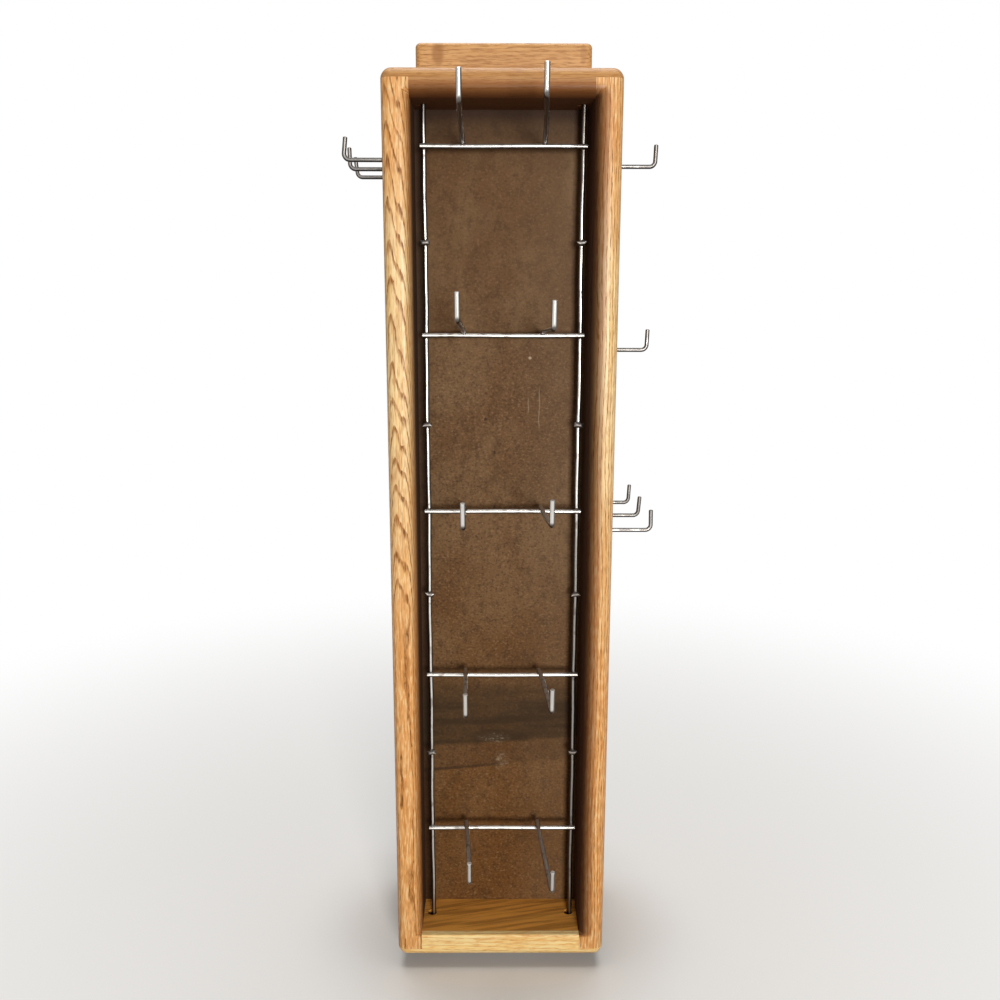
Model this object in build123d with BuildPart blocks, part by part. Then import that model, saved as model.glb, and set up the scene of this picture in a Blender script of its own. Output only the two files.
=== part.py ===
# Two-sided oak jewellery stand: a tall rabbeted case on a low turntable, with a hardboard partition,
# a welded wire rack with long hooks in the front compartment, and L-hooks let into both side boards.
#
# Millimetres, +Z up. The front faces -Y. The origin lies on the swivel axis, at the resting face.

import os
from math import cos, radians, sin

from build123d import *

# Case boards
case_width = 162.0
case_depth = 127.0
board_thickness = 19.0
lip_thickness = 7.0  # the part of the top and bottom boards that runs over the ends of the side boards
edge_radius = 7.0  # rounded front and rear edges
corner_extra = 0.5  # the outer corners are sanded this much rounder than the edges
ease_radius = 1.5  # the bottom board's inner edges are only eased
overrun = 1.0  # how far a cutting shape passes the face that it cuts

# Partition panel
panel_thickness = 3.2
panel_setback = 48.0  # from the front of the case to the face of the panel
groove_depth = 6.0
panel_edge_gap = 0.5  # left at the panel's sides and top for the wood to move
panel_face_gap = 0.1

# Top cap
cap_side_inset = 21.2
cap_end_inset = 20.0  # from the front and from the rear of the case
cap_drift = 1.2  # the cap was fixed this much to the right of the middle
cap_thickness = 19.0
cap_edge_radius = 3.0
cap_corner_extra = 1.5  # added to the edge radius at the upright corners

# Wire rack
rack_wire = 3.4
rack_panel_gap = 18.0  # from the panel to the middle of the uprights
rod_clearance = 3.6  # the sockets' diameter over the wire's
rod_drift_share = 0.72  # how far to the right the loose rack stands in its sockets
rod_hole_depth = 10.0
rod_top_gap = 2.0  # room left above the uprights in the upper sockets
rung_pitch = 129.5
rung_floor_gap = 77.5  # from the case's floor to the middle of the lowest rung
rung_ceiling_gap = 27.5  # from the middle of the highest rung to the case's ceiling
rung_wall_gap = 3.5  # from a rung's ends to the side boards, with the rack in the middle
rung_overhang = 3.0  # past the middle of each upright
stub_length = 6.5
weld_set = 0.7  # how far a weld sinks one wire into the other
weld_gap = 0.02

# Rack hooks: a left and a right one on each rung, from the top rung down. Angles are in degrees.
hook_spacing = 57.0
hook_reach = 102.5
hook_tail = 6.0  # behind the middle of the rung
hook_tip = 18.0
hook_bend_radius = 4.5
hook_tip_angle = 10.5  # forwards
hook_rise_angles = ((4.7, 6.7), (5.6, 2.8), (4.6, 5.6), (4.6, 6.3), (7.7, 4.0))
hook_splay_angles = ((0.6, -2.3), (-0.4, 1.1), (1.1, 1.2), (1.7, 2.1), (2.9, 3.1))  # to the right

# Side hooks
side_wire = 3.0
side_tip = 15.0
side_bend_radius = 4.0
side_fit = 0.02
side_hole_floor = 1.0  # wood left between a hook's hole and the depth of the panel groove
side_hook_drop = 57.5  # from the top of the case to the highest hooks
outer_row_inset = 14.0  # from the front and from the rear of the case
single_row_setback = 46.0  # from the front of the case
left_reaches = {"front": 28.5, "middle": 31.0, "rear": 32.0}  # past the boards
right_reaches = {"upper": 30.0, "central": 28.0, "front": 30.5, "middle": 28.0, "rear": 27.0}
left_lean_angles = {"front": -6.0, "middle": 1.0, "rear": 7.0}  # of the tips, outwards
right_lean_angles = {"upper": 2.0, "central": 2.0, "front": -1.0, "middle": 4.5, "rear": 3.0}
wire_end_chamfer = 0.4

# Turntable
bearing_side = 76.0
bearing_height = 8.0
bearing_corner_radius = 5.0
plate_thickness = 1.2
dish_radius = 31.0
dish_slope = 2.0
ball_diameter = 4.0
ball_circle_radius = 24.5
ball_count = 8
ball_gap = 0.15
race_depth = 0.6  # how far the balls sink into each plate
ring_bore_radius = 14.0
ring_wall = 2.0
ring_flange = 3.5
ring_gap = 0.4
running_gap = 0.3  # between the upper dish and the ring's upper flange
pad_thickness = 3.0
pad_inset = 2.0

# Screws
screw_edge_distance = 7.0  # from the edges of the turntable plates
screw_diameter = 4.0
screw_point_length = 3.0
screw_fit = 0.02
plate_hole_clearance = 0.3
plate_screw_bite = 12.0  # in the bottom board
pan_head_diameter = 8.0
pan_head_height = 2.4
pan_head_slope = 0.9  # bevel round the crown of the head
cap_screw_spacing = 70.0
cap_screw_setback = 14.0  # behind the middle of the panel
cap_screw_bite = 11.0  # in the cap
sunk_head_diameter = 8.0
sunk_head_gap = 0.4  # round the head in its countersink

# Levels and places that follow from the sizes above
rung_count = len(hook_rise_angles)
inner_width = case_width - 2 * board_thickness
inner_height = rung_floor_gap + (rung_count - 1) * rung_pitch + rung_ceiling_gap
case_height = inner_height + 2 * board_thickness
case_bottom = pad_thickness + bearing_height
case_top = case_bottom + case_height
case_middle = case_bottom + case_height / 2
floor_level = case_bottom + board_thickness
ceiling_level = case_top - board_thickness
front_y = -case_depth / 2
rear_y = case_depth / 2
panel_y = front_y + panel_setback + panel_thickness / 2
rack_radius = rack_wire / 2
rod_hole_radius = (rack_wire + rod_clearance) / 2
upright_y = front_y + panel_setback - rack_panel_gap
upright_spacing = inner_width - 2 * (rung_wall_gap + rung_overhang)
rack_x = rod_drift_share * rod_clearance / 2
upright_xs = [rack_x - upright_spacing / 2, rack_x + upright_spacing / 2]
rung_y = upright_y - rack_wire + weld_set
rung_levels = [floor_level + rung_floor_gap + k * rung_pitch for k in reversed(range(rung_count))]
screw_spacing = bearing_side - 2 * screw_edge_distance
cap_screw_y = panel_y + cap_screw_setback

os.makedirs("parts", exist_ok=True)


def keep(piece, name):
    """Label a finished piece and write it as a node of its own."""
    piece.part.label = name
    export_step(piece.part, f"parts/{name}.step")


# The four boards as they stand glued up, with all outer edges and the inner edges of the sides and top
# rounded over on both faces. Each board is then taken out of this blank along its rabbets.
with BuildPart() as case_blank:
    with BuildSketch(Plane.XZ):
        with Locations((0, case_middle)):
            RectangleRounded(case_width, case_height, edge_radius + corner_extra)
            Rectangle(inner_width, inner_height, mode=Mode.SUBTRACT)
    extrude(amount=case_depth / 2, both=True)
    case_faces = case_blank.faces().filter_by(Axis.Y).sort_by(Axis.Y)
    fillet(case_faces[0].outer_wire().edges() + case_faces[-1].outer_wire().edges(), radius=edge_radius)
    for face_y, inward in ((front_y, 1), (rear_y, -1)):
        wall_x = -inner_width / 2
        arc_x = wall_x - edge_radius
        arc_y = face_y + inward * edge_radius
        clear_x = wall_x + overrun
        clear_y = face_y - inward * overrun
        with BuildLine(Plane.XZ.offset(-face_y)):
            Polyline(
                (wall_x, floor_level),
                (wall_x, ceiling_level),
                (-wall_x, ceiling_level),
                (-wall_x, floor_level),
            )
        with BuildSketch(Plane.XY.offset(floor_level)):
            with BuildLine():
                Polyline(
                    (wall_x, arc_y),
                    (clear_x, arc_y),
                    (clear_x, clear_y),
                    (arc_x, clear_y),
                    (arc_x, face_y),
                )
                RadiusArc((arc_x, face_y), (wall_x, arc_y), -inward * edge_radius)
            make_face()
        sweep(transition=Transition.RIGHT, mode=Mode.SUBTRACT)


def cut_panel_groove():
    """Cut the groove that holds the partition panel, all round the inside of the case."""
    with Locations((0, panel_y, case_middle)):
        Box(
            inner_width + 2 * groove_depth,
            panel_thickness + 2 * panel_face_gap,
            inner_height + 2 * groove_depth,
            mode=Mode.SUBTRACT,
        )


# Places of the side hooks on each board: their rows, and rung pitches below the highest hooks
front_row_y = front_y + outer_row_inset
single_row_y = front_y + single_row_setback
rear_row_y = rear_y - outer_row_inset
left_hooks = {"front": (front_row_y, 0), "middle": (0, 0), "rear": (rear_row_y, 0)}
right_hooks = {
    "upper": (single_row_y, 0),
    "central": (single_row_y, 1),
    "front": (front_row_y, 2),
    "middle": (0, 2),
    "rear": (rear_row_y, 2),
}
case_sides = (
    ("left", -1, left_hooks, left_reaches, left_lean_angles),
    ("right", 1, right_hooks, right_reaches, right_lean_angles),
)
side_embed = board_thickness - groove_depth - side_hole_floor


def side_hook_mouth(side, row_y, pitches):
    """Where a side hook's wire leaves the outer face of its board."""
    return Vector(side * case_width / 2, row_y, case_top - side_hook_drop - pitches * rung_pitch)


# Side boards: they stand between the lips of the top and bottom boards
for hand, side, hooks, reaches, lean_angles in case_sides:
    with BuildPart() as side_board:
        add(case_blank.part)
        with Locations((side * (case_width - board_thickness) / 2, 0, case_middle)):
            Box(board_thickness, case_depth, case_height - 2 * lip_thickness, mode=Mode.INTERSECT)
        cut_panel_groove()
        for place in hooks.values():
            mouth = side_hook_mouth(side, *place)
            with Locations(Plane(origin=mouth, x_dir=(0, 1, 0), z_dir=(side, 0, 0))):
                Hole(radius=side_wire / 2 + side_fit, depth=side_embed)
    keep(side_board, f"side_board_{hand}")

# Bottom board: lip underneath, tongue between the side boards, sockets for the rack and pilot holes
# for the turntable
with BuildPart() as bottom_board:
    add(case_blank.part)
    with BuildSketch(Plane.XZ):
        with Locations((0, case_bottom)):
            Rectangle(case_width, lip_thickness, align=(Align.CENTER, Align.MIN))
            Rectangle(inner_width, board_thickness, align=(Align.CENTER, Align.MIN))
    extrude(amount=case_depth, both=True, mode=Mode.INTERSECT)
    tongue_face = bottom_board.faces().filter_by(Axis.Z).sort_by(Axis.Z)[-1]
    fillet(tongue_face.edges().filter_by(Axis.X), radius=ease_radius)
    cut_panel_groove()
    with Locations((0, upright_y, floor_level)):
        with GridLocations(upright_spacing, 0, 2, 1):
            Hole(radius=rod_hole_radius, depth=rod_hole_depth)
    with Locations(Plane(origin=(0, 0, case_bottom), z_dir=(0, 0, -1))):
        with GridLocations(screw_spacing, screw_spacing, 2, 2):
            Hole(radius=screw_diameter / 2 + screw_fit, depth=plate_screw_bite)
keep(bottom_board, "bottom_board")

# Top board: the same joint turned over, with the cap's screw holes countersunk from inside
with BuildPart() as top_board:
    add(case_blank.part)
    with BuildSketch(Plane.XZ):
        with Locations((0, case_top)):
            Rectangle(case_width, lip_thickness, align=(Align.CENTER, Align.MAX))
            Rectangle(inner_width, board_thickness, align=(Align.CENTER, Align.MAX))
    extrude(amount=case_depth, both=True, mode=Mode.INTERSECT)
    cut_panel_groove()
    with Locations(Plane(origin=(0, upright_y, ceiling_level), z_dir=(0, 0, -1))):
        with GridLocations(upright_spacing, 0, 2, 1):
            Hole(radius=rod_hole_radius, depth=rod_hole_depth)
    with Locations(Plane(origin=(0, cap_screw_y, ceiling_level), z_dir=(0, 0, -1))):
        with GridLocations(cap_screw_spacing, 0, 2, 1):
            CounterSinkHole(
                radius=screw_diameter / 2 + screw_fit,
                counter_sink_radius=sunk_head_diameter / 2 + sunk_head_gap,
                depth=board_thickness,
                counter_sink_angle=90,
            )
keep(top_board, "top_board")

# Partition panel: hardboard that stands in the grooves, on the bottom one
with BuildPart() as partition_panel:
    with Locations((0, panel_y, floor_level - groove_depth)):
        Box(
            inner_width + 2 * (groove_depth - panel_edge_gap),
            panel_thickness,
            inner_height + 2 * groove_depth - panel_edge_gap,
            align=(Align.CENTER, Align.CENTER, Align.MIN),
        )
keep(partition_panel, "partition_panel")

# Top cap: a smaller board on top of the case, eased all round its upper edges
with BuildPart() as top_cap:
    with BuildSketch(Plane.XY.offset(case_top)):
        with Locations((cap_drift, 0)):
            RectangleRounded(
                case_width - 2 * cap_side_inset,
                case_depth - 2 * cap_end_inset,
                cap_edge_radius + cap_corner_extra,
            )
    extrude(amount=cap_thickness)
    fillet(top_cap.faces().sort_by(Axis.Z)[-1].edges(), radius=cap_edge_radius)
    with Locations(Plane(origin=(0, cap_screw_y, case_top), z_dir=(0, 0, -1))):
        with GridLocations(cap_screw_spacing, 0, 2, 1):
            Hole(radius=screw_diameter / 2 + screw_fit, depth=cap_screw_bite)
keep(top_cap, "top_cap")

# Rack uprights: they stand on the floors of their sockets and reach into those of the top board
upright_foot = floor_level - rod_hole_depth
upright_head = ceiling_level + rod_hole_depth - rod_top_gap
for upright_x, name in zip(upright_xs, ("rack_upright_left", "rack_upright_right")):
    with BuildPart() as rack_upright:
        with BuildSketch(Plane.XY.offset(upright_foot)):
            with Locations((upright_x, upright_y)):
                Circle(rack_radius)
        extrude(amount=upright_head - upright_foot)
        chamfer(rack_upright.edges().filter_by(GeomType.CIRCLE), length=wire_end_chamfer)
    keep(rack_upright, name)


def add_cross_wire(level, middle_x, length):
    """Add a level wire in front of the uprights, sunk into them by its welds."""
    with BuildSketch(Plane.YZ.offset(middle_x)) as section:
        with Locations((rung_y, level)):
            Circle(rack_radius)
    extrude(section.sketch, amount=length / 2, both=True)
    for upright_x in upright_xs:
        with Locations((upright_x, upright_y, level)):
            Cylinder(rack_radius + weld_gap, rack_wire + 2 * overrun, mode=Mode.SUBTRACT)


# Rack rungs, numbered from the top
for number, level in enumerate(rung_levels, start=1):
    with BuildPart() as rack_rung:
        add_cross_wire(level, rack_x, inner_width - 2 * rung_wall_gap)
        end_circles = rack_rung.edges().filter_by(GeomType.CIRCLE).group_by(SortBy.LENGTH)[-1]
        chamfer(end_circles, length=wire_end_chamfer)
    keep(rack_rung, f"rack_rung_{number}")

# Cut rung stubs: what is left on the uprights of every second rung
with BuildPart() as rack_cut_stubs:
    for level in rung_levels[1:]:
        for upright_x in upright_xs:
            add_cross_wire(level + rung_pitch / 2, upright_x, stub_length)
keep(rack_cut_stubs, "rack_cut_stubs")


def sweep_bent_wire(points, bend_radius, diameter):
    """Sweep a round wire along straight runs joined by bends."""
    with BuildLine() as route:
        FilletPolyline(*points, radius=bend_radius)
    with BuildSketch(Plane(origin=route.wire() @ 0, z_dir=route.wire() % 0)) as section:
        Circle(diameter / 2)
    sweep(section.sketch, path=route.wire())


# Rack hooks: each lies across the top of its rung, runs out past the front of the case and turns up
hook_tip_way = Vector(0, -sin(radians(hook_tip_angle)), cos(radians(hook_tip_angle)))
rack_hook_rows = zip(rung_levels, hook_rise_angles, hook_splay_angles)
for number, (level, rises, splays) in enumerate(rack_hook_rows, start=1):
    for hand, side, rise, splay in zip(("left", "right"), (-1, 1), rises, splays):
        run = Vector(
            sin(radians(splay)) * cos(radians(rise)),
            -cos(radians(splay)) * cos(radians(rise)),
            sin(radians(rise)),
        )
        seat = Vector(rack_x + side * hook_spacing / 2, rung_y, level + rack_wire - weld_set)
        bend = seat + run * hook_reach
        tail_end = seat - run * hook_tail
        tip_end = bend + hook_tip_way * hook_tip
        with BuildPart() as rack_hook:
            sweep_bent_wire((tail_end, bend, tip_end), hook_bend_radius, rack_wire)
            with Locations((seat.X, rung_y, level)):
                Cylinder(
                    rack_radius + weld_gap,
                    rack_wire + 2 * overrun,
                    rotation=(0, 90, 0),
                    mode=Mode.SUBTRACT,
                )
            chamfer(rack_hook.faces().sort_by(Axis.Z)[-1].edges(), length=wire_end_chamfer)
        keep(rack_hook, f"rack_hook_{hand}_{number}")

# Side hooks: let into the board, straight out and turned up at the end
for hand, side, hooks, reaches, lean_angles in case_sides:
    outwards = Vector(side, 0, 0)
    for row, place in hooks.items():
        lean = radians(lean_angles[row])
        mouth = side_hook_mouth(side, *place)
        inner_end = mouth - outwards * side_embed
        bend = mouth + outwards * (reaches[row] - side_wire / 2)
        tip_end = bend + Vector(side * sin(lean), 0, cos(lean)) * side_tip
        with BuildPart() as side_hook:
            sweep_bent_wire((inner_end, bend, tip_end), side_bend_radius, side_wire)
            chamfer(side_hook.faces().sort_by(Axis.Z)[-1].edges(), length=wire_end_chamfer)
        keep(side_hook, f"side_hook_{hand}_{row}")

# Turntable plates: one pressing, used twice face to face. A round dish in the middle of each is pressed
# towards the other plate and holds a ball race.
ball_level = pad_thickness + bearing_height / 2
ball_radius = ball_diameter / 2
dish_step = bearing_height / 2 - ball_radius + race_depth - plate_thickness
ring_outer_radius = ring_bore_radius + ring_wall
plate_hole_radius = ring_outer_radius + ring_gap
for name, outer_level, inward in (
    ("turntable_lower_plate", pad_thickness, 1),
    ("turntable_upper_plate", case_bottom, -1),
):
    flat_level = outer_level + inward * plate_thickness
    dish_level = outer_level + inward * dish_step
    with BuildPart() as turntable_plate:
        with BuildSketch(Plane.XY.offset(min(outer_level, flat_level))):
            RectangleRounded(bearing_side, bearing_side, bearing_corner_radius)
            Circle(dish_radius, mode=Mode.SUBTRACT)
            with GridLocations(screw_spacing, screw_spacing, 2, 2):
                Circle(screw_diameter / 2 + plate_hole_clearance, mode=Mode.SUBTRACT)
        extrude(amount=plate_thickness)
        with BuildSketch(Plane.XZ):
            with BuildLine():
                Polyline(
                    (dish_radius, outer_level),
                    (dish_radius - dish_slope, dish_level),
                    (plate_hole_radius, dish_level),
                    (plate_hole_radius, dish_level + inward * plate_thickness),
                    (dish_radius - dish_slope, dish_level + inward * plate_thickness),
                    (dish_radius, flat_level),
                    close=True,
                )
            make_face()
            with Locations((ball_circle_radius, ball_level)):
                Circle(ball_radius + ball_gap, mode=Mode.SUBTRACT)
        revolve(axis=Axis.Z)
    keep(turntable_plate, name)

# Turntable balls: they run in the races between the dishes
with BuildPart() as turntable_balls:
    with Locations((0, 0, ball_level)):
        with PolarLocations(ball_circle_radius, ball_count):
            Sphere(ball_radius)
keep(turntable_balls, "turntable_balls")

# Hub ring: crimped under the lower dish and over the upper one, so that the plates can't come apart
ring_foot = pad_thickness + dish_step
ring_head = case_bottom - dish_step + running_gap
ring_flange_radius = ring_outer_radius + ring_flange
flange_thickness = (dish_step - running_gap) / 2
with BuildPart() as turntable_hub_ring:
    with BuildSketch(Plane.XZ):
        with BuildLine():
            Polyline(
                (ring_bore_radius, ring_foot - flange_thickness),
                (ring_flange_radius, ring_foot - flange_thickness),
                (ring_flange_radius, ring_foot),
                (ring_outer_radius, ring_foot),
                (ring_outer_radius, ring_head),
                (ring_flange_radius, ring_head),
                (ring_flange_radius, ring_head + flange_thickness),
                (ring_bore_radius, ring_head + flange_thickness),
                close=True,
            )
        make_face()
    revolve(axis=Axis.Z)
keep(turntable_hub_ring, "turntable_hub_ring")

# Base pad: rubber sheet stuck under the lower plate, the face that the stand rests on
pad_side = bearing_side - 2 * pad_inset
with BuildPart() as base_pad:
    with BuildSketch(Plane.XY):
        RectangleRounded(pad_side, pad_side, bearing_corner_radius)
    extrude(amount=pad_thickness)
keep(base_pad, "base_pad")

# Plate screws: pan heads under the upper plate, shanks up into the bottom board
pan_seat = case_bottom - plate_thickness
plate_screw_end = case_bottom + plate_screw_bite
with BuildPart() as plate_screw:
    with BuildSketch(Plane.XZ):
        with BuildLine():
            Polyline(
                (0, pan_seat - pan_head_height),
                (pan_head_diameter / 2 - pan_head_slope, pan_seat - pan_head_height),
                (pan_head_diameter / 2, pan_seat - pan_head_height + pan_head_slope),
                (pan_head_diameter / 2, pan_seat),
                (screw_diameter / 2, pan_seat),
                (screw_diameter / 2, plate_screw_end - screw_point_length),
                (0, plate_screw_end),
                close=True,
            )
        make_face()
    revolve(axis=Axis.Z)
with BuildPart() as plate_screws:
    with GridLocations(screw_spacing, screw_spacing, 2, 2):
        add(plate_screw.part)
keep(plate_screws, "plate_screws")

# Cap screws: sunk heads in the ceiling of the rear compartment, shanks up into the cap
cap_screw_end = case_top + cap_screw_bite
sunk_head_height = (sunk_head_diameter - screw_diameter) / 2
with BuildPart() as cap_screw:
    with BuildSketch(Plane.XZ):
        with BuildLine():
            Polyline(
                (0, ceiling_level),
                (sunk_head_diameter / 2, ceiling_level),
                (screw_diameter / 2, ceiling_level + sunk_head_height),
                (screw_diameter / 2, cap_screw_end - screw_point_length),
                (0, cap_screw_end),
                close=True,
            )
        make_face()
    revolve(axis=Axis.Z)
with BuildPart() as cap_screws:
    with Locations((0, cap_screw_y, 0)):
        with GridLocations(cap_screw_spacing, 0, 2, 1):
            add(cap_screw.part)
keep(cap_screws, "cap_screws")
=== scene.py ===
"""Two-sided oak jewelry stand on a low turntable: the finish of every piece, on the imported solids."""
import bpy
import numpy as np
from mathutils import Matrix, Vector


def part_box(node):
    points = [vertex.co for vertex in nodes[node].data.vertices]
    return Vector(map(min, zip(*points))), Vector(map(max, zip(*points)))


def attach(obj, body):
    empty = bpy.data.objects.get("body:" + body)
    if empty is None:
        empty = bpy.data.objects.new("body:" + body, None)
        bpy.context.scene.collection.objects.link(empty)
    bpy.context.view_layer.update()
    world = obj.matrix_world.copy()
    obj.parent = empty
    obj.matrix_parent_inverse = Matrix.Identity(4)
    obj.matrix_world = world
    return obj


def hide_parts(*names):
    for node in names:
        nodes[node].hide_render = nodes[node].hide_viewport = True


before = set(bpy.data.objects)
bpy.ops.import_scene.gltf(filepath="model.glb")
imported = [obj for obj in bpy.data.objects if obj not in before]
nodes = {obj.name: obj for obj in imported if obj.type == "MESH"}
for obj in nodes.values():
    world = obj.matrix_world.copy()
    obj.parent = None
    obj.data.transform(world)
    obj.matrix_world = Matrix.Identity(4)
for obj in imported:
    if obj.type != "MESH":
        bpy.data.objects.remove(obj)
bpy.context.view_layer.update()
MM = 0.001

# Base pad
# A square of black foam rubber under the turntable that keeps the stand from sliding.
# Die-cut from sheet and glued to the lower plate.


class Shade:
    """An output socket of a material. Sums, products and powers of shades add Math nodes beside it."""

    def __init__(self, tree, socket=None):
        self.tree = tree
        self.socket = socket

    def __getitem__(self, output):
        return Shade(self.tree, self.socket.node.outputs[output])

    def node(self, kind, settings=None, sockets=None, output=0):
        """Add a node of a kind, set its settings, then give its sockets their values or links."""
        made = self.tree.nodes.new("ShaderNode" + kind)
        for key, value in (settings or {}).items():
            setattr(made, key, value)
        for key, value in (sockets or {}).items():
            if isinstance(value, Shade):
                self.tree.links.new(value.socket, made.inputs[key])
            else:
                made.inputs[key].default_value = value
        return Shade(self.tree, made.outputs[output] if len(made.outputs) else None)

    def math(self, operation, first, second=0.0):
        return self.node("Math", {"operation": operation}, {0: first, 1: second})

    def __add__(self, other):
        return self.math("ADD", self, other)

    def __sub__(self, other):
        return self.math("SUBTRACT", self, other)

    def __rsub__(self, other):
        return self.math("SUBTRACT", other, self)

    def __mul__(self, other):
        return self.math("MULTIPLY", self, other)

    def __truediv__(self, other):
        return self.math("DIVIDE", self, other)

    def __pow__(self, other):
        return self.math("POWER", self, other)

    __radd__ = __add__
    __rmul__ = __mul__


def paint(red, green, blue):
    """A colour as it looks on a screen, 0 to 255, in the linear values that a shader takes."""
    screen = np.array((red, green, blue)) / 255
    linear = np.where(screen > 0.04045, ((screen + 0.055) / 1.055) ** 2.4, screen / 12.92)
    return (*linear.tolist(), 1.0)


def step(value, low, high):
    """0 up to low, 1 from high on and a smooth rise between; it falls where low is above high."""
    limits = {"Value": value, "From Min": low, "From Max": high}
    return value.node("MapRange", {"interpolation_type": "SMOOTHSTEP"}, limits)


def tint(mask, off, on):
    """The colour off where the mask is 0 and on where it is 1."""
    return mask.node("Mix", {"data_type": "RGBA"}, {0: mask, 6: off, 7: on}, output=2)


def cloud(place, size, detail=2.0, roughness=0.5):
    """Soft noise from 0 to 1 whose lumps are about so many millimetres in size."""
    sockets = {"Vector": place, "Scale": 1 / size, "Detail": detail, "Roughness": roughness}
    return place.node("TexNoise", None, sockets)


def axes(place):
    """The three coordinates of a place, as shades."""
    parts = place.node("SeparateXYZ", None, {"Vector": place})
    return parts, parts["Y"], parts["Z"]


def stretch(place, along_x, along_y, along_z):
    """The place with each coordinate divided by a stretch, for grain that runs one way."""
    x, y, z = axes(place)
    return place.node("CombineXYZ", None, {"X": x / along_x, "Y": y / along_y, "Z": z / along_z})


def start_finish(name):
    """A bare material, and the place on the object in millimetres."""
    material = bpy.data.materials.new(name)
    material.use_nodes = True
    material.node_tree.nodes.clear()
    metres = Shade(material.node_tree).node("TexCoord")["Object"]
    return material, metres.node("VectorMath", {"operation": "SCALE"}, {0: metres, "Scale": 1 / MM})


def close_finish(material, place, height, relief, sockets):
    """Give the material its surface: the sockets as they come, and a bump of so many millimetres."""
    normal = place.node("Bump", None, {"Height": height, "Strength": 1.0, "Distance": relief * MM})
    surface = place.node("BsdfPrincipled", None, {**sockets, "Normal": normal})
    place.node("OutputMaterial", None, {"Surface": surface})
    return material


def dress(material, *names):
    """Give a material to solids of the frame."""
    for name in names:
        nodes[name].material_slots[0].material = material


def foam_rubber():
    """Near-black rubber: closed cells as fine pits, a dusty bloom in patches."""
    material, place = start_finish("foam_rubber")
    pits = cloud(place, 0.7, 1.0)
    bloom = step(cloud(place, 22.0, 3.0), 0.45, 0.75)
    colour = tint(bloom, paint(34, 33, 32), paint(62, 60, 57))
    sockets = {"Base Color": colour, "Roughness": 0.8 + 0.12 * bloom}
    return close_finish(material, place, pits, 0.25, sockets)


dress(foam_rubber(), "base_pad")

# Turntable plates, hub ring and plate screws
# Two square pressings that face each other, a folded ring that holds them together, and four pan-head
# screws up into the bottom board. All are bright zinc on steel.


def zinc_plate():
    """Zinc plating: bluish grey with faint spangles, fine rolling lines and duller handled spots."""
    material, place = start_finish("zinc_plate")
    spangle = cloud(place, 6.0, 2.0)
    lines = cloud(stretch(place, 14.0, 0.35, 0.35), 1.0, 2.0)
    dull = step(cloud(place, 17.0, 3.0), 0.48, 0.7)
    colour = tint(spangle, paint(176, 180, 186), paint(208, 209, 207))
    roughness = 0.26 + 0.16 * dull + 0.1 * lines
    sockets = {"Base Color": colour, "Metallic": 1.0 - 0.15 * dull, "Roughness": roughness}
    return close_finish(material, place, lines, 0.03, sockets)


dress(
    zinc_plate(), "turntable_lower_plate", "turntable_upper_plate", "turntable_hub_ring", "plate_screws"
)

# Turntable balls
# Hardened steel balls that run loose between the two plates.
# Ground and polished, with a film of grease.


def greased_steel():
    """Polished steel under patches of brown grease."""
    material, place = start_finish("greased_steel")
    film = step(cloud(place, 2.2, 2.0), 0.4, 0.7)
    colour = tint(film, paint(214, 214, 212), paint(150, 132, 96))
    sockets = {"Base Color": colour, "Metallic": 1.0 - 0.5 * film, "Roughness": 0.1 + 0.22 * film}
    return close_finish(material, place, film, 0.02, sockets)


dress(greased_steel(), "turntable_balls")

# Bottom board
# Solid oak, planed, rounded over and glued up in rabbets, under a satin varnish. Its grain runs from
# side to side, and it is the palest of the boards.

# Levels and depths in millimetres between which a board's grain, its tone with a painted sheen, and its
# painted shade change
straight_grain_level = 300.0
ripe_foot, ripe_head = (490.0, 220.0), (520.0, 630.0)
wall_foot, wall_head = (27.0, 32.0), (663.0, 653.0)
wall_mouth = (40.0, 59.0)
socket_shade_rim = (29.8, 28.8)


def spot(x, z, middle, half, core=0.4):
    """1 in the core of an upright ellipse, falling off to 0 at its rim."""
    across, level = (x - middle[0]) / half[0], (z - middle[1]) / half[1]
    return step((across * across + level * level) ** 0.5, 1.0, core)


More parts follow.
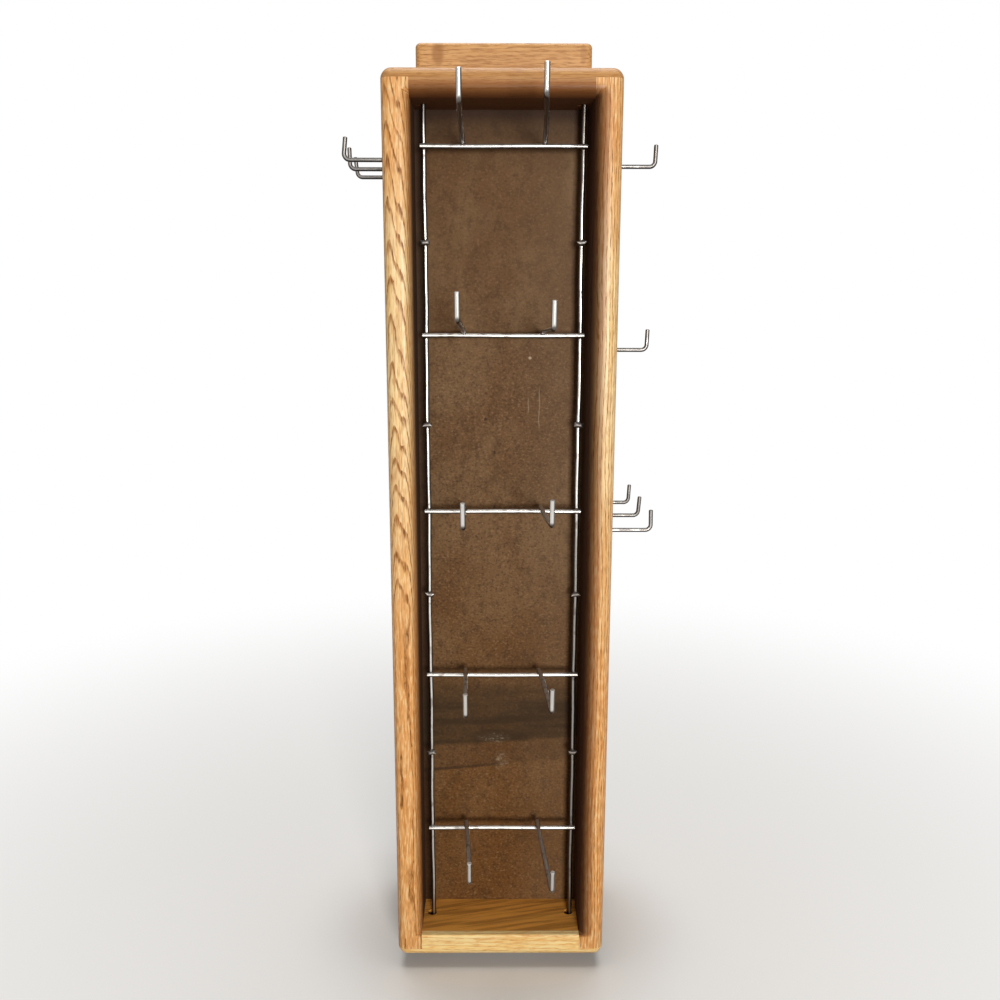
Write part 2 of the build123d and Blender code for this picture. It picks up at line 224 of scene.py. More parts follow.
def oak_board(
    name, along, pith, lean, ring, colours, wave=0.7, figure=1.0, shade=None, ripe=None, marks=()
):
    """Ring-porous oak under varnish.

    The growth rings are cylinders round a pith line that leans against the board: ring number =
    distance from the pith / ring width, shifted by noise that is long along the grain. Low in an
    upright board the line doesn't lean, so arches above run into straight grain below. Each ring starts
    with a thin band of open pores, seen as broken dark dashes, as strong as the figure. Streaks, flecks
    and slow changes of tone lie over it, and an upright board may turn riper towards its ends, which
    leaves a paler middle that stands partly for a painted sheen.

    The side that faces into the case may carry painted shade, with less gloss: along one axis, more and
    more from an outer to an inner distance from the middle, and it may fade towards the mouth of the
    case, with a warm edge where it starts. On the floor of the case it has slanting darker stripes, and
    painted shade fills the sockets. Marks are darker spots.
    """
    pale, middle, line, dark = (paint(*colour) for colour in colours)
    material, place = start_finish(name)
    x, y, z = axes(place)
    across, grain = (x, z) if along == "Z" else (z, x)
    fibre = place.node("CombineXYZ", None, {"X": across, "Y": y, "Z": grain})
    sway = cloud(stretch(fibre, 24.0, 24.0, 110.0), 1.0, 1.0) - 0.5
    ripple = cloud(stretch(fibre, 3.5, 3.5, 15.0), 1.0, 1.0) - 0.5
    bent = grain.math("MAXIMUM", grain, straight_grain_level) if along == "Z" else grain
    off_across = across - (pith[0] + lean[0] * bent)
    off_deep = y - (pith[1] + lean[1] * bent)
    distance = (off_across * off_across + off_deep * off_deep) ** 0.5
    rings = (distance + wave * (6.0 * sway + 1.6 * ripple)) / ring
    age = rings.math("FRACT", rings)
    early = step(age, 0.0, 0.08) * step(age, 0.38, 0.16)
    pores = step(cloud(stretch(fibre, 0.7, 0.7, 6.0), 1.0, 2.0), 0.45, 0.57)
    fine = cloud(stretch(fibre, 0.35, 0.35, 5.0), 1.0, 2.0)
    fleck = cloud(stretch(fibre, 0.9, 0.9, 8.0), 1.0, 1.0)
    streak = step(cloud(stretch(fibre, 2.2, 2.2, 60.0), 1.0, 2.0), 0.34, 0.66)
    patch = step(cloud(stretch(fibre, 10.0, 10.0, 45.0), 1.0, 2.0), 0.42, 0.7)
    wood = tint(streak, pale, middle)
    wood = tint(0.3 * patch, wood, line)
    # Deeper orange towards the foot and head; the paler middle between them is partly a painted sheen
    if ripe:
        riper_around_sheen = 0.7 * step(z, *ripe_foot) + 0.6 * step(z, *ripe_head)
        wood = tint(riper_around_sheen, wood, paint(*ripe))
    lively = 0.4 if ripe else 0.5
    wood = tint(lively * step(fleck, 0.52, 0.64), wood, line)
    wood = tint(0.5 * step(fleck, 0.46, 0.34), wood, pale)
    wood = tint(figure * early * (0.6 + 0.35 * pores), wood, line)
    wood = tint(0.9 * figure * early * pores * step(fine, 0.44, 0.6), wood, dark)
    for spot_middle, half, amount in marks:
        wood = tint(amount * spot(x + 2.0 * sway, z + 3.0 * ripple, spot_middle, half), wood, line)
    coat = 0.2 - 0.12 * pores * early
    roughness = 0.36 + 0.16 * early * pores + 0.1 * (1 - streak)
    # Painted shade on the faces inside the case, with a warm edge, less coat and more roughness
    if shade:
        off = {"X": x, "Y": y, "Z": z}[shade["axis"]]
        painted_inner_shade = step(off * off, shade["outer"] ** 2, shade["inner"] ** 2)
        if along == "Z":
            painted_inner_shade = painted_inner_shade * step(z, *wall_foot) * step(z, *wall_head)
        if "fade" in shade:
            mouth = step(y * y, wall_mouth[0] ** 2, wall_mouth[1] ** 2)
            painted_inner_shade = painted_inner_shade * (1 - shade["fade"] * mouth)
        wood = tint(0.5 * step(painted_inner_shade, 0.0, 0.35), wood, paint(168, 96, 40))
        wood = tint(shade["amount"] * painted_inner_shade, wood, paint(*shade["tone"]))
        if "streaks" in shade:
            slant = {"X": x / 60, "Y": (y - 0.22 * x) / 4, "Z": z / 60}
            worn = step(cloud(place.node("CombineXYZ", None, slant), 1.0, 2.0), 0.4, 0.62)
            wood = tint(shade["streaks"] * painted_inner_shade * worn, wood, paint(104, 60, 20))
            # Painted shade in the sockets of the bottom board, where their walls would catch the light
            wood = tint(shade["streaks"] * painted_inner_shade * step(z, *socket_shade_rim), wood, paint(30, 16, 7))
        coat = coat * (1 - painted_inner_shade)
        roughness = roughness + 0.55 * painted_inner_shade
    height = fine * 0.4 - early * pores
    sockets = {
        "Base Color": wood,
        "Roughness": roughness,
        "Coat Weight": coat,
        "Coat Roughness": 0.3,
        "Specular IOR Level": 0.16,
    }
    return close_finish(material, place, height, 0.1, sockets)


straw = ((255, 232, 168), (255, 216, 140), (226, 160, 86), (160, 102, 48))
# Painted shade on the floor of the case and in its sockets, over slanting darker stripes
floor_shade = {
    "axis": "Y", "outer": 58.5, "inner": 56.5, "amount": 0.85, "tone": (232, 158, 62), "streaks": 0.5
}
bottom_oak = oak_board(
    "oak_bottom", "X", pith=(2.0, -30.0), lean=(0.012, 0.02), ring=2.0, colours=straw, figure=0.5,
    shade=floor_shade,
)
dress(bottom_oak, "bottom_board")

# Side boards
# They stand between the lips of the top and bottom boards with their grain upright. The left one was
# sawn at a slant, so the upper part of its front shows arches; the right one has straight grain.

golden = ((255, 232, 178), (240, 200, 136), (172, 112, 52), (104, 62, 27))
ripe = (228, 150, 72)
# Painted shade on the inner faces of the side boards; on the left it fades towards the mouth
left_shade = {
    "axis": "X", "outer": 67.8, "inner": 61.4, "amount": 0.94, "tone": (38, 18, 7), "fade": 0.72
}
right_shade = {"axis": "X", "outer": 74.5, "inner": 62.3, "amount": 0.94, "tone": (46, 19, 7)}
left_oak = oak_board(
    "oak_left", "Z", pith=(-68.3, -18.0), lean=(0.0, -0.044), ring=1.0, colours=golden, wave=0.32,
    shade=left_shade, ripe=ripe,
)
right_oak = oak_board(
    "oak_right", "Z", pith=(128.0, -20.0), lean=(-0.01, 0.004), ring=2.0, colours=golden, figure=0.8,
    shade=right_shade, ripe=ripe,
)
dress(left_oak, "side_board_left")
dress(right_oak, "side_board_right")

# Partition panel
# Tempered hardboard in a groove all round the inside of the case, brown and slightly shiny.
# It divides the front compartment from the rear one and carries stains and scuffs from use.

# Millimetres between which the panel's painted shade, painted shadow and front change, then the middles
# and half sizes of its marks
panel_top_shadow, panel_left_shade, panel_front = (641.0, 651.0), (-53.0, -59.0), (-14.0, -15.0)
stain_edge, stain_head = (169.5, 173.5), (240.0, 200.0)
scuffs = (((-5.0, 175.0), (17.0, 6.0)), ((0.5, 155.0), (8.0, 12.0)))
pale_dot = ((21.4, 478.8), (1.5, 1.5))
dark_nicks = (((-12.0, 433.0), (1.4, 1.8)), ((-5.0, 408.0), (1.2, 1.6)))
# Each scratch: where it stands across the panel, and the levels of its ends
scratches = ((28.6, 424.0, 458.0), (20.4, 436.0, 451.0))
scratch_taper = 5.0


def hardboard():
    """Pressed brown fibre, rougher lower down, with broad mottling. Painted shade darkens it along its
    top and sides, with a painted shadow along the top, and a painted sheen makes its right part paler.

    On the front, a dark stain reaches from behind the fourth rung down to a slanting edge, about
    z = 171 + 0.06 x, with a thin second edge below it, about z = 152 + 0.09 x. Scuffs lie on both.
    Higher up are a pale dot, two nicks and two fine scratches.
    """
    material, place = start_finish("hardboard")
    x, y, z = axes(place)
    fibres = cloud(stretch(place, 2.0, 2.0, 1.6), 1.0, 3.0, 0.7)
    blots = cloud(stretch(place, 8.0, 8.0, 10.0), 1.0, 4.0, 0.65)
    mottle = cloud(stretch(place, 34.0, 34.0, 60.0), 1.0, 2.0)
    smear = cloud(stretch(place, 40.0, 40.0, 6.0), 1.0, 3.0)
    colour = tint(step(mottle, 0.36, 0.66), paint(101, 71, 41), paint(117, 89, 59))
    colour = tint(0.6 * step(z, 400.0, 60.0), colour, paint(108, 68, 25))
    colour = tint(0.6 * step(blots, 0.46, 0.68), colour, paint(80, 55, 31))
    rough = 0.3 + 0.35 * step(z, 570.0, 430.0)
    colour = tint(rough * step(fibres, 0.5, 0.7), colour, paint(58, 36, 20))
    colour = tint(0.8 * rough * step(fibres, 0.46, 0.3), colour, paint(150, 117, 84))
    # Painted sheen: the right part of the panel is paler and greyer
    colour = tint(0.2 * step(x, 0.0, 50.0), colour, paint(130, 106, 82))
    # Painted shade along the top and both sides of the panel
    painted_edge_shade = 0.9 * step(z, 605.0, 656.0) + 0.5 * step(x * x, 50.0 ** 2, 63.0 ** 2)
    colour = tint(0.7 * painted_edge_shade.math("MINIMUM", painted_edge_shade, 1.0), colour, paint(40, 24, 12))
    # Painted shadow of the top board along the panel's top, and painted shade along its left edge
    colour = tint(0.75 * step(z, *panel_top_shadow), colour, paint(40, 19, 6))
    colour = tint(0.65 * step(x, *panel_left_shade), colour, paint(40, 19, 6))
    front = step(y, *panel_front)
    edge = z - 0.06 * x + 5.0 * (smear - 0.5)
    band = step(edge, *stain_edge) * step(z, *stain_head)
    colour = tint(front * band * (0.66 + 0.24 * step(smear, 0.3, 0.66)), colour, paint(48, 35, 20))
    below = z - 0.088 * x + 2.0 * (smear - 0.5)
    second = step(below, 151.0, 153.5) * step(edge, 174.0, 170.0)
    colour = tint(0.3 * front * second, colour, paint(60, 42, 26))
    crease = step(below, 150.4, 151.6) * step(below, 154.4, 152.6) * step(x, 20.0, -20.0)
    colour = tint(0.6 * front * crease, colour, paint(40, 27, 17))
    chips = step(cloud(stretch(place, 4.0, 4.0, 1.6), 1.0, 4.0, 0.7), 0.5, 0.66)
    rubbed = spot(x, z, *scuffs[0], core=0.1) + spot(x, z, *scuffs[1], core=0.1)
    colour = tint(front * rubbed * (0.06 + 0.6 * chips), colour, paint(168, 148, 124))
    colour = tint(0.8 * front * spot(x, z, *pale_dot), colour, paint(186, 166, 142))
    nicks = spot(x, z, *dark_nicks[0]) + spot(x, z, *dark_nicks[1])
    colour = tint(0.7 * front * nicks, colour, paint(44, 28, 16))
    wander = 2.0 * (cloud(place, 7.0, 1.0) - 0.5)
    for scratch_x, low, high in scratches:
        off = x + wander - scratch_x
        ends = step(z, low, low + scratch_taper), step(z, high, high - scratch_taper)
        scratch = step(off * off, 0.3, 0.08) * ends[0] * ends[1]
        colour = tint(0.35 * front * scratch, colour, paint(168, 148, 122))
    sockets = {
        "Base Color": colour,
        "Roughness": 0.5 + 0.16 * fibres,
        "Specular IOR Level": 0.12,
    }
    return close_finish(material, place, fibres, 0.08, sockets)


dress(hardboard(), "partition_panel")

# Rack uprights
# Two rods of bright nickel-plated steel wire that stand loose in oversize sockets in the bottom and top
# boards. Cut from coil and straightened, so they keep slight kinks.

rack_wire = 3.4 * MM
wire_sides = 20
ring_gap = 1.5 * MM
end_bevel = 0.4 * MM
sharp_angle = np.radians(35.0)
weld_heat = 3.0 * MM


def tube(path, sideways, radius, flatten=0.0):
    """A round bar along a path, closed on a pole at each end.

    At each point p of the path, with tangent t, n is `sideways` made square to t and b = t x n. The
    ring there is p + r (cos a n + (1 - f) sin a b), with r from `radius` and f from `flatten`.
    """
    rings = len(path)
    tangent = np.gradient(path, axis=0)
    tangent /= np.linalg.norm(tangent, axis=1, keepdims=True)
    normal = sideways - tangent * (tangent @ sideways)[:, None]
    normal /= np.linalg.norm(normal, axis=1, keepdims=True)
    binormal = np.cross(tangent, normal)
    wide = np.broadcast_to(radius, rings)[:, None, None]
    thin = wide * (1 - np.broadcast_to(flatten, rings)[:, None, None])
    angle = np.linspace(0, 2 * np.pi, wire_sides, endpoint=False)[:, None]
    ring = path[:, None] + wide * np.cos(angle) * normal[:, None]
    ring = ring + thin * np.sin(angle) * binormal[:, None]
    vertices = np.concatenate((ring.reshape(-1, 3), path[:1], path[-1:]))
    corner = np.arange((rings - 1) * wire_sides).reshape(rings - 1, wire_sides)
    beside = np.roll(corner, -1, axis=1)
    quads = np.stack((corner, beside, beside + wire_sides, corner + wire_sides), axis=-1).reshape(-1, 4)
    first = np.arange(wire_sides)
    last = first + (rings - 1) * wire_sides
    pole = np.full(wire_sides, rings * wire_sides)
    foot = np.stack((np.roll(first, -1), first, pole), axis=-1)
    head = np.stack((last, np.roll(last, -1), pole + 1), axis=-1)
    return vertices, quads, np.concatenate((foot, head))


def places_along(start, finish, spacing):
    """Places along a straight wire, with one at each bevel."""
    count = int((finish - start) / spacing)
    between = np.linspace(start + end_bevel, finish - end_bevel, count)
    return np.concatenate(([start], between, [finish]))


def bevelled(places, radius):
    """A radius along a wire that is drawn in by the bevel at both ends."""
    from_end = np.minimum(places - places[0], places[-1] - places)
    return radius - end_bevel * np.clip(1 - from_end / end_bevel, 0, 1)


def wire_piece(name, tubes, welds, heat, material, slot, *replaced):
    """Join tubes into one piece that rides on the case and stands for its solids.

    The attribute `burn` falls off from the welds as exp(-(distance / heat)^2).
    """
    starts = np.cumsum([0] + [len(points) for points, _, _ in tubes])
    vertices = np.concatenate([points for points, _, _ in tubes])
    quads = np.concatenate([four + start for (_, four, _), start in zip(tubes, starts)])
    fans = np.concatenate([three + start for (_, _, three), start in zip(tubes, starts)])
    mesh = bpy.data.meshes.new(name)
    mesh.from_pydata(vertices.tolist(), [], quads.tolist() + fans.tolist())
    mesh.shade_smooth()
    mesh.set_sharp_from_angle(angle=sharp_angle)
    apart = np.linalg.norm(vertices[:, None] - np.asarray(welds)[None], axis=2).min(axis=1)
    burn = mesh.attributes.new("burn", "FLOAT", "POINT")
    burn.data.foreach_set("value", np.exp(-((apart / heat) ** 2)))
    mesh.materials.append(material)
    piece = bpy.data.objects.new(name, mesh)
    bpy.context.scene.collection.objects.link(piece)
    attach(piece, "case")
    if replaced:
        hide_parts(*replaced)


# Millimetres between which the hook tips begin and the rack's painted shade and shadow change
hook_ends = (-126.0, -133.0)
right_end, dimmed_high, dimmed_low = (46.0, 54.0), (560.0, 590.0), (380.0, 340.0)
upright_heads, behind_hooks = (630.0, 646.0), (-60.0, -45.0)


def bright_wire():
    """Nickel plating on drawn wire, with smudges, specks and burnt welds.

    Painted shade makes it dimmer below and to the right, and a painted dark reflection darkens its rims
    where it curves away from the view. More painted shade dims it high and low at the right end of the
    rack, and a painted shadow of the top board dims the tops of the uprights. The hook tips, rubbed by
    use, have no smudges and thinner painted dark rims.
    """
    material, place = start_finish("bright_wire")
    burn = place.node("Attribute", {"attribute_name": "burn"})["Fac"]
    turned = place.node("LayerWeight", None, {"Blend": 0.5}, "Facing")
    to_right, _, upward = axes(place.node("TexCoord")["Normal"])
    x, y, z = axes(place)
    tip = step(y, *hook_ends)
    cloudy = cloud(place, 5.0, 3.0)
    specks = step(cloud(place, 1.1, 2.0), 0.7, 0.78)
    smudge = step(cloud(place, 8.0, 2.0), 0.54, 0.68)
    colour = tint(cloudy, paint(196, 193, 188), paint(222, 219, 213))
    colour = tint(0.55 * smudge * (1 - tip), colour, paint(112, 98, 88))
    topside = step(upward, 0.2, 0.7)
    # Painted dark reflection at the rims, by how far the surface turns from the view; thinner on the
    # tips
    painted_dark_rim = step(turned + 0.2 * (cloudy - 0.5) - 0.1 * tip, 0.13, 0.45) * (1 - 0.75 * topside)
    colour = tint(painted_dark_rim, colour, paint(92, 78, 68))
    # Painted shade below and to the right
    painted_side_shade = 0.8 * step(upward, -0.22, -0.55) + 0.7 * step(to_right, 0.35, 0.8)
    colour = tint(painted_side_shade.math("MINIMUM", painted_side_shade, 0.8), colour, paint(64, 54, 48))
    # Painted shade high and low at the right end, painted shadow of the top board at the upright tops
    painted_dimming = 0.55 * step(x, *right_end) * (step(z, *dimmed_high) + step(z, *dimmed_low))
    painted_head_shadow = 0.75 * step(z, *upright_heads) * step(y, *behind_hooks)
    painted_dimming = painted_dimming.math("MAXIMUM", painted_dimming, painted_head_shadow)
    colour = tint(painted_dimming, colour, paint(70, 56, 46))
    colour = tint(0.75 * specks, colour, paint(78, 62, 50))
    scorch = step(burn + 0.35 * (cloudy - 0.5), 0.35, 0.85)
    colour = tint(0.85 * scorch, colour, paint(90, 80, 74))
    sockets = {
        "Base Color": colour,
        "Metallic": 1.0 - 0.5 * specks - 0.35 * topside * (1 - specks),
        "Roughness": 0.28 + 0.08 * cloudy + 0.3 * specks + 0.2 * scorch,
    }
    return close_finish(material, place, cloudy - 0.4 * specks, 0.04, sockets)


nickel = bright_wire()
rung_names = [f"rack_rung_{number}" for number in range(1, 6)]
rung_boxes = [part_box(name) for name in rung_names]
rung_levels = [(low.z + high.z) / 2 for low, high in rung_boxes]
rung_y = (rung_boxes[0][0].y + rung_boxes[0][1].y) / 2
upright_names = ("rack_upright_left", "rack_upright_right")
upright_boxes = [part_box(name) for name in upright_names]
upright_xs = [(low.x + high.x) / 2 for low, high in upright_boxes]
upright_y = (upright_boxes[0][0].y + upright_boxes[0][1].y) / 2
stub_levels = [(above + below) / 2 for above, below in zip(rung_levels, rung_levels[1:])]
weld_y = (rung_y + upright_y) / 2
cross_welds = np.array([(x, weld_y, level) for level in rung_levels + stub_levels for x in upright_xs])
for hand, (name, x, (low, high)) in enumerate(zip(upright_names, upright_xs, upright_boxes)):
    height = places_along(low.z, high.z, ring_gap)
    kink = 0.22 * np.sin(height / (26 * MM) + 2 * hand) + 0.1 * np.sin(height / (8 * MM) + hand)
    path = np.stack((x + kink * MM, upright_y + 0.6 * kink[::-1] * MM, height), axis=-1)
    rod = tube(path, np.array((1.0, 0.0, 0.0)), bevelled(height, rack_wire / 2))
    wire_piece(f"{name}_rod", [rod], cross_welds, weld_heat, nickel, "bright_wire", name)

# Rack rungs
# Five lengths of the same wire, resistance-welded across the fronts of the uprights.
# They are a little longer than the uprights are apart, and stop short of the boards.

for name, level, (low, high) in zip(rung_names, rung_levels, rung_boxes):
    reach = places_along(low.x, high.x, ring_gap)
    sag = 0.15 * MM * np.sin(reach / (17 * MM) + level / (50 * MM))
    path = np.stack((reach, np.full(len(reach), rung_y), level + sag), axis=-1)
    rod = tube(path, np.array((0.0, 0.0, 1.0)), bevelled(reach, rack_wire / 2))
    wire_piece(f"{name}_rod", [rod], cross_welds, weld_heat, nickel, "bright_wire", name)

# Cut rung stubs
# What is left of four more rungs that were nipped off close to both uprights.
# Each end is pinched thin by the cutters, and no two stand at the same tilt.

stub_length = 6.5 * MM
stub_ring_gap = 0.4 * MM
broad_heat = 2 * weld_heat
nip_start, nip_length = 1.3 * MM, 1.95 * MM
stubs = []
for number, level in enumerate(stub_levels):
    for hand, x in enumerate(upright_xs):
        reach = places_along(-stub_length / 2, stub_length / 2, stub_ring_gap)
        tilt = 0.16 * np.sin(2.3 * number + 1.9 * hand + 0.6)
        turn = 1.2 * number + 2.1 * hand
        nip = np.clip((np.abs(reach) - nip_start) / nip_length, 0, 1) ** 2
        way = np.array((np.cos(tilt), 0.0, np.sin(tilt)))
        path = np.array((x, rung_y, level)) + reach[:, None] * way
        sideways = np.array((0.0, np.sin(turn), np.cos(turn)))
        stubs.append(tube(path, sideways, rack_wire / 2 * (1 + 0.1 * nip), 0.7 * nip))
wire_piece(
    "rack_cut_stubs_nipped", stubs, cross_welds, broad_heat, nickel, "bright_wire", "rack_cut_stubs"
)

# Rack hooks
# Ten lengths of the wire welded on top of the rungs, two to a rung. Each runs out past the front of the
# case and is bent up into a tip; they were bent by hand and no two stand quite alike.

hook_spacing = 57.0 * MM
hook_reach = 102.5 * MM
hook_tail = 6.0 * MM
hook_tip = 18.0 * MM
hook_bend = 4.5 * MM
bend_rings = 14
tip_angle = np.radians(10.5)
weld_set = 0.7 * MM
rises = np.radians(((4.7, 6.7), (5.6, 2.8), (4.6, 5.6), (4.6, 6.3), (7.7, 4.0)))
splays = np.radians(((0.6, -2.3), (-0.4, 1.1), (1.1, 1.2), (1.7, 2.1), (2.9, 3.1)))
rack_x = sum(upright_xs) / 2


def bent_path(start, run, tip, run_length, tip_length, bend):
    """A straight run, a round bend and a straight tip, with the share of the run passed at each place.

    p(s) = start + run min(s, s0) + bend (sin f run + (1 - cos f) up) + tip max(s - s1, 0), where f
    turns from 0 to the bend's whole angle between s0 and s1, and up is the tip's way made square to
    the run.
    """
    turn = np.arccos(run @ tip)
    up = tip - run * (run @ tip)
    up /= np.linalg.norm(up)
    cut = bend * np.tan(turn / 2)
    begin = run_length - cut
    finish = begin + bend * turn
    whole = finish + tip_length - cut
    places = np.concatenate(
        (
            places_along(0.0, begin, ring_gap)[:-2],
            np.linspace(begin, finish, bend_rings),
            places_along(finish, whole, ring_gap)[2:],
        )
    )
    angle = np.clip((places - begin) / bend, 0, turn)[:, None]
    path = (
        start
        + np.minimum(places, begin)[:, None] * run
        + bend * (np.sin(angle) * run + (1 - np.cos(angle)) * up)
        + np.maximum(places - finish, 0)[:, None] * tip
    )
    return path, places, np.clip(places / begin, 0, 1)


hook_tip_way = np.array((0.0, -np.sin(tip_angle), np.cos(tip_angle)))
hook_welds = []
for number, level in enumerate(rung_levels):
    for hand, (hand_name, side) in enumerate((("left", -1), ("right", 1))):
        rise, splay = rises[number, hand], splays[number, hand]
        run = np.array((np.sin(splay) * np.cos(rise), -np.cos(splay) * np.cos(rise), np.sin(rise)))
        seat = np.array((rack_x + side * hook_spacing / 2, rung_y, level + rack_wire - weld_set))
        path, places, share = bent_path(
            seat - run * hook_tail, run, hook_tip_way, hook_reach + hook_tail, hook_tip, hook_bend
        )
        path[:, 0] += 0.6 * MM * np.sin(np.pi * share) * np.sin(2.1 * number + 1.3 * hand)
        weld = seat - np.array((0.0, 0.0, (rack_wire - weld_set) / 2))
        hook_welds.append(weld)
        rod = tube(path, np.array((1.0, 0.0, 0.0)), bevelled(places, rack_wire / 2))
        node_name = f"rack_hook_{hand_name}_{number + 1}"
        wire_piece(f"{node_name}_rod", [rod], [weld], weld_heat, nickel, "bright_wire", node_name)

# Rack welds
# A small squashed bead of melted wire at each crossing, between a rung or stub and its upright and
# between a hook and its rung.

bead_rings, bead_end = 13, 80
cross_bead = (1.1 * MM, 2.3 * MM)
hook_bead = (1.0 * MM, 2.2 * MM)


def bead(middle, way, sideways, half_height, half_width):
    """A squashed ball: a tube along a short way.

    At half_height sin f along the way, its ring radius is half_width cos f.
    """
    lift = np.radians(np.linspace(-bead_end, bead_end, bead_rings))
    path = middle + half_height * np.sin(lift)[:, None] * way
    return tube(path, sideways, half_width * np.cos(lift))


ahead, upwards = np.array((0.0, 1.0, 0.0)), np.array((0.0, 0.0, 1.0))
beads = [bead(weld, ahead, upwards, *cross_bead) for weld in cross_welds]
beads += [bead(weld, upwards, ahead, *hook_bead) for weld in hook_welds]
all_welds = np.concatenate((cross_welds, hook_welds))
wire_piece("rack_welds", beads, all_welds, broad_heat, nickel, "bright_wire")

# Top board
# The same joint as below, turned over: its lip runs over the ends of the side boards and its tongue
# fits between them. Plainer, darker oak than the sides.

brown = ((198, 149, 94), (186, 135, 80), (156, 105, 57), (114, 71, 36))
# Painted shade on the underside of the top board inside the case
top_shade = {"axis": "Z", "outer": 666.5, "inner": 653.0, "amount": 0.88, "tone": (60, 30, 10)}
top_oak = oak_board(
    "oak_top", "X", pith=(720.0, -30.0), lean=(0.01, 0.02), ring=2.2, colours=brown, figure=0.25,
    shade=top_shade,
)
dress(top_oak, "top_board")

# Side hooks
# L-shaped hooks of plain dull steel wire, pressed into blind holes in the outer faces of the boards.
# Three stand in a row on the left, and five in three rows on the right.


def dull_wire():
    """Plain drawn steel: grey along its middle, rubbed, with painted shade nearly black below and a
    painted dark reflection where it curves away.
    """
    material, place = start_finish("dull_wire")
    turned = place.node("LayerWeight", None, {"Blend": 0.5}, "Facing")
    upward = axes(place.node("TexCoord")["Normal"])[2]
    oxide = cloud(place, 3.5, 3.0)
    rubbed = step(cloud(place, 9.0, 2.0), 0.5, 0.72)
    colour = tint(oxide, paint(124, 120, 116), paint(154, 150, 146))
    colour = tint(0.6 * rubbed, colour, paint(180, 177, 172))
    # Painted dark reflection at the rims, then painted shade below
    colour = tint(step(turned + 0.1 * (oxide - 0.5), 0.08, 0.4), colour, paint(28, 25, 23))
    colour = tint(0.85 * step(upward, 0.1, -0.5), colour, paint(28, 25, 23))
    sockets = {"Base Color": colour, "Metallic": 0.95, "Roughness": 0.34 + 0.14 * oxide - 0.08 * rubbed}
    return close_finish(material, place, oxide, 0.04, sockets)


side_hook_names = ["side_hook_left_" + row for row in ("front", "middle", "rear")]
side_hook_names += ["side_hook_right_" + row for row in ("upper", "central", "front", "middle", "rear")]
dress(dull_wire(), *side_hook_names)

# Top cap
# A smaller oak board screwed on top of the case, eased round its upper edges.
# It has a darker patch of grain near each end.

chestnut = ((212, 164, 108), (199, 148, 92), (156, 105, 57), (114, 71, 36))
cap_marks = (((-43.0, 684.0), (5.5, 10.0), 0.75), ((55.0, 684.0), (3.0, 9.0), 0.4))
cap_oak = oak_board(
    "oak_cap", "X", pith=(640.0, -10.0), lean=(0.006, -0.012), ring=2.0, colours=chestnut, figure=0.4,
    marks=cap_marks,
)
dress(cap_oak, "top_cap")

# Cap screws
# Two countersunk screws up through the top board into the cap, behind the partition panel.
# Zinc-plated, with a yellowish passivation.


def screw_steel():
    """Yellowish zinc-plated screw steel, rubbed in the recess."""
    material, place = start_finish("screw_steel")
    wear = cloud(place, 1.6, 2.0)
    colour = tint(wear, paint(150, 138, 108), paint(196, 184, 150))
    sockets = {"Base Color": colour, "Metallic": 1.0, "Roughness": 0.28 + 0.2 * wear}
    return close_finish(material, place, wear, 0.03, sockets)


dress(screw_steel(), "cap_screws")

# Floor, light and camera
# A plain pale floor that turns white with distance and sends back tan light, one soft lamp in front and
# a little to the right, a broad one overhead and a pale room all round.

floor_first_ring, floor_radius = 0.2, 8.0
floor_ring_count, floor_sides = 24, 96
shadow_rim, white_rim = (80.0, 180.0), (200.0, 1000.0)
floor_rings = np.concatenate(([0.0], np.geomspace(floor_first_ring, floor_radius, floor_ring_count)))
floor_turn = np.linspace(0, 2 * np.pi, floor_sides, endpoint=False)
floor_points = np.stack(
    (
        floor_rings[:, None] * np.cos(floor_turn),
        floor_rings[:, None] * np.sin(floor_turn),
        np.zeros((len(floor_rings), floor_sides)),
    ),
    axis=-1,
)
corner = np.arange((len(floor_rings) - 1) * floor_sides).reshape(-1, floor_sides)
beside = np.roll(corner, -1, axis=1)
floor_quads = np.stack((corner, corner + floor_sides, beside + floor_sides, beside), axis=-1)
floor_mesh = bpy.data.meshes.new("floor")
floor_mesh.from_pydata(floor_points.reshape(-1, 3).tolist(), [], floor_quads.reshape(-1, 4).tolist())
floor = bpy.data.objects.new("floor", floor_mesh)
bpy.context.scene.collection.objects.link(floor)


def seen_directly(start):
    """1 for rays from the camera, and about half for what metal shows of the surroundings."""
    path = start.node("LightPath")
    return path.math("MAXIMUM", path["Is Camera Ray"], 0.5 * path["Is Glossy Ray"])


floor_material, floor_place = start_finish("pale_floor")
floor_x, floor_y, _ = axes(floor_place)
from_axis = (floor_x * floor_x + floor_y * floor_y) ** 0.5
far = 0.3 * step(from_axis, *shadow_rim) + 0.7 * step(from_axis, *white_rim)
floor_pale = floor_place.node("BsdfDiffuse", None, {"Color": paint(244, 241, 236)})
floor_white = floor_place.node("Emission", None, {"Color": (1.0, 1.0, 1.0, 1.0), "Strength": 1.0})
floor_seen = floor_place.node("MixShader", None, {0: far, 1: floor_pale, 2: floor_white})
floor_tan = floor_place.node("BsdfDiffuse", None, {"Color": paint(132, 96, 60)})
floor_ray = floor_place.node("LightPath")["Is Diffuse Ray"]
floor_mix = floor_place.node("MixShader", None, {0: floor_ray, 1: floor_seen, 2: floor_tan})
floor_place.node("OutputMaterial", None, {"Surface": floor_mix})
floor_mesh.materials.append(floor_material)

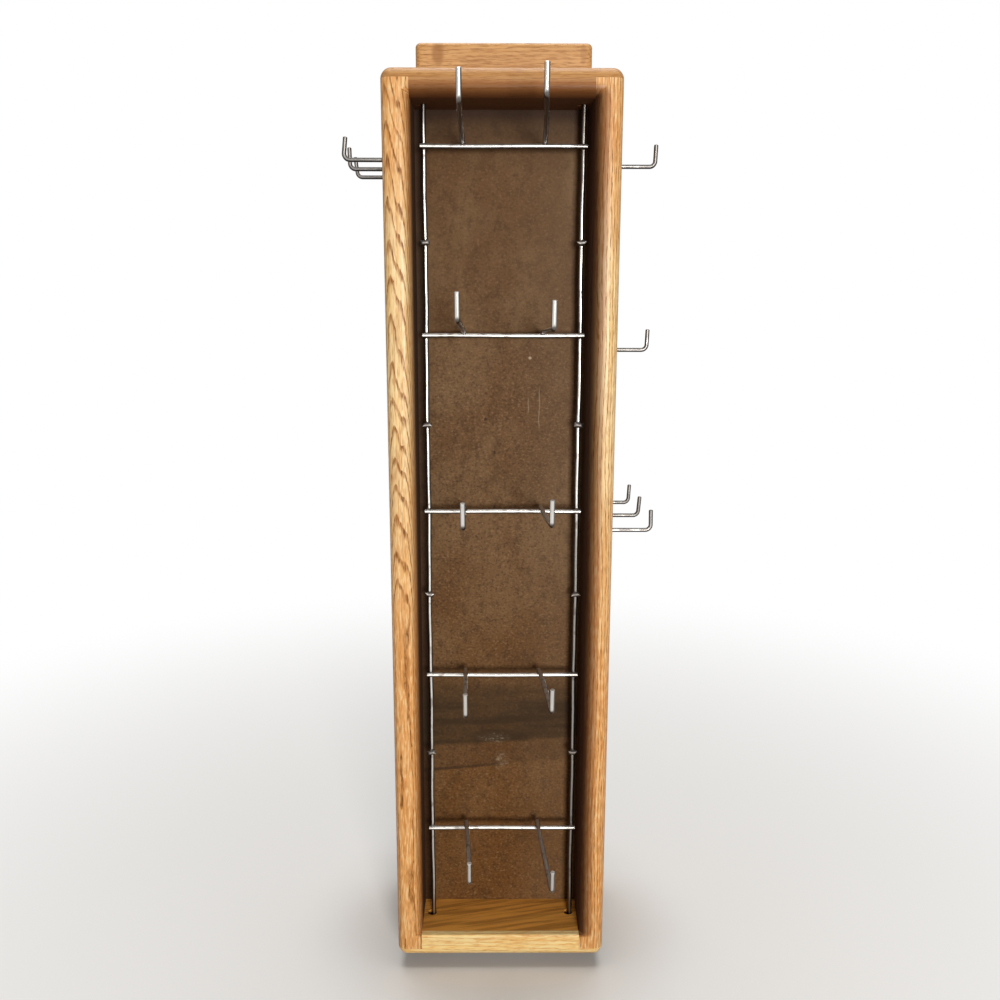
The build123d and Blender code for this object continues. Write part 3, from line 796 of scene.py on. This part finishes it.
world = bpy.data.worlds.new("pale_room")
bpy.context.scene.world = world
world.use_nodes = True
world.node_tree.nodes.clear()
room = Shade(world.node_tree)
room_light = room.node("Background", None, {"Color": (1.0, 0.98, 0.95, 1.0), "Strength": 0.03})
room_white = room.node("Background", None, {"Color": (1.0, 1.0, 1.0, 1.0), "Strength": 1.0})
room_mix = room.node("MixShader", None, {0: seen_directly(room), 1: room_light, 2: room_white})
room.node("OutputWorld", None, {"Surface": room_mix})


def soft_lamp(name, place, aim, size, power, colour):
    """A square lamp at a place, turned to an aim."""
    lamp = bpy.data.lights.new(name, "AREA")
    lamp.size = size
    lamp.energy = power
    lamp.color = colour
    holder = bpy.data.objects.new(name, lamp)
    way = Vector(aim) - Vector(place)
    holder.matrix_world = Matrix.Translation(place) @ way.to_track_quat("-Z", "Y").to_matrix().to_4x4()
    bpy.context.scene.collection.objects.link(holder)


soft_lamp(
    "front_lamp", place=(0.3, -1.85, 0.52), aim=(0.0, 0.0, 0.36), size=0.4, power=28.0,
    colour=(1.0, 0.98, 0.95),
)
soft_lamp(
    "top_lamp", place=(0.0, 0.25, 2.2), aim=(0.0, 0.0, 0.0), size=1.6, power=32.0,
    colour=(1.0, 1.0, 1.0),
)

camera_place = (-0.0052, -0.7502, 0.5229)
camera_down, camera_right, camera_roll = np.radians((11.69, 0.35, 0.111))
forward = Vector(
    (
        np.sin(camera_right) * np.cos(camera_down),
        np.cos(camera_right) * np.cos(camera_down),
        -np.sin(camera_down),
    )
)
level_right = Vector((np.cos(camera_right), -np.sin(camera_right), 0.0))
level_up = level_right.cross(forward)
right = np.cos(camera_roll) * level_right + np.sin(camera_roll) * level_up
up = np.cos(camera_roll) * level_up - np.sin(camera_roll) * level_right
turned = Matrix((right, up, -forward)).transposed().to_4x4()
lens = bpy.data.cameras.new("camera")
lens.sensor_width = 36.0
lens.lens = 35.237
camera = bpy.data.objects.new("camera", lens)
camera.matrix_world = Matrix.Translation(camera_place) @ turned
bpy.context.scene.collection.objects.link(camera)
bpy.context.scene.camera = camera
bpy.context.scene.view_settings.view_transform = "Standard"
